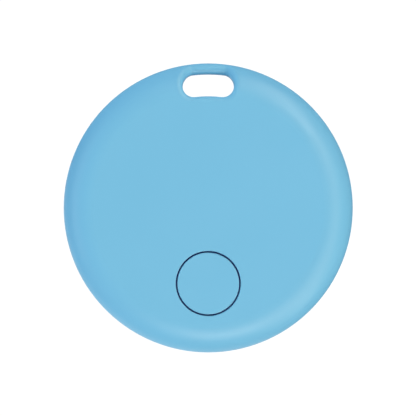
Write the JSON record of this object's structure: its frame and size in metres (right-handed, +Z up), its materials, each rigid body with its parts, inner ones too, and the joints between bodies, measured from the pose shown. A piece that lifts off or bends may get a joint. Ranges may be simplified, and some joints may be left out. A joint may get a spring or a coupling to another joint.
{
  "type": "bluetooth tracker tag",
  "caption": "Round flat tracker tag with an arc-shaped lanyard slot near its edge, a flush round push button and a twist-off battery door in the back.",
  "frame": {"origin": "centre of the disc, midway between the front and rear faces", "axes": "+Z up towards the lanyard slot, +X to the right seen from the front, front face towards -Y"},
  "size_m": [0.038, 0.008, 0.038],
  "materials": {
    "case_plastic": "fine matte",
    "dark_silicone": "matte",
    "foam": "soft foam",
    "frame_plastic": "satin",
    "steel": "satin",
    "board": "solder mask on glass fibre",
    "black_epoxy": "moulded",
    "ferrite": "matte",
    "chip_ceramic": "matte",
    "brass": "plated",
    "black_plastic": "moulded",
    "adhesive": "cured",
    "white_ceramic": "silvered",
    "cell_gasket": "moulded",
    "cell_core": "pressed powder"
  },
  "bodies": {
    "case": {"front_cover": "case_plastic", "rear_cover": "case_plastic", "case_seal": "dark_silicone", "door_seal": "dark_silicone", "inner_frame": "frame_plastic", "frame_screws": "steel", "pcb": "board", "ble_chip": "black_epoxy", "crystal_main": "steel", "crystal_clock": "steel", "coil_inductor": "ferrite", "driver_transistor": "black_epoxy", "capacitors": "chip_ceramic", "resistors": "black_epoxy", "antenna": "brass", "switch_base": "black_plastic", "switch_dome": "steel", "switch_frame": "steel", "negative_contact": "steel", "positive_contacts": "steel", "piezo_adhesive": "adhesive", "piezo_plate": "brass", "piezo_ceramic": "white_ceramic", "piezo_contacts": "brass"},
    "button": {"button_cap": "case_plastic", "button_seal": "dark_silicone"},
    "plunger": {"switch_plunger": "black_plastic"},
    "cell": {"battery_can": "steel", "battery_cap": "steel", "battery_gasket": "cell_gasket", "battery_core": "cell_core"},
    "door": {"battery_door": "case_plastic", "door_pad": "foam"}
  },
  "joints": [
    {"name": "button_press", "type": "slide", "parent": "case", "child": "button", "axis": [0, 1, 0], "range_m": [0, 0.00025], "stiffness_N_per_m": 6000, "springref_m": -0.0001},
    {"name": "plunger_press", "type": "slide", "parent": "case", "child": "plunger", "axis": [0, 1, 0], "range_m": [0, 0.0002], "deforming": ["switch_dome"]},
    {"name": "door_lift", "type": "slide", "parent": "case", "child": "cell", "axis": [0, 1, 0], "range_m": [0, 0.012]},
    {"name": "door_turn", "type": "hinge", "parent": "cell", "child": "door", "pos_m": [0, 0.0036, -0.0017], "axis": [0, 1, 0], "range_deg": [-45, 0]}
  ],
  "couplings": [
    {"joint": "plunger_press", "follows": "button_press", "ratio": 0.8}
  ]
}
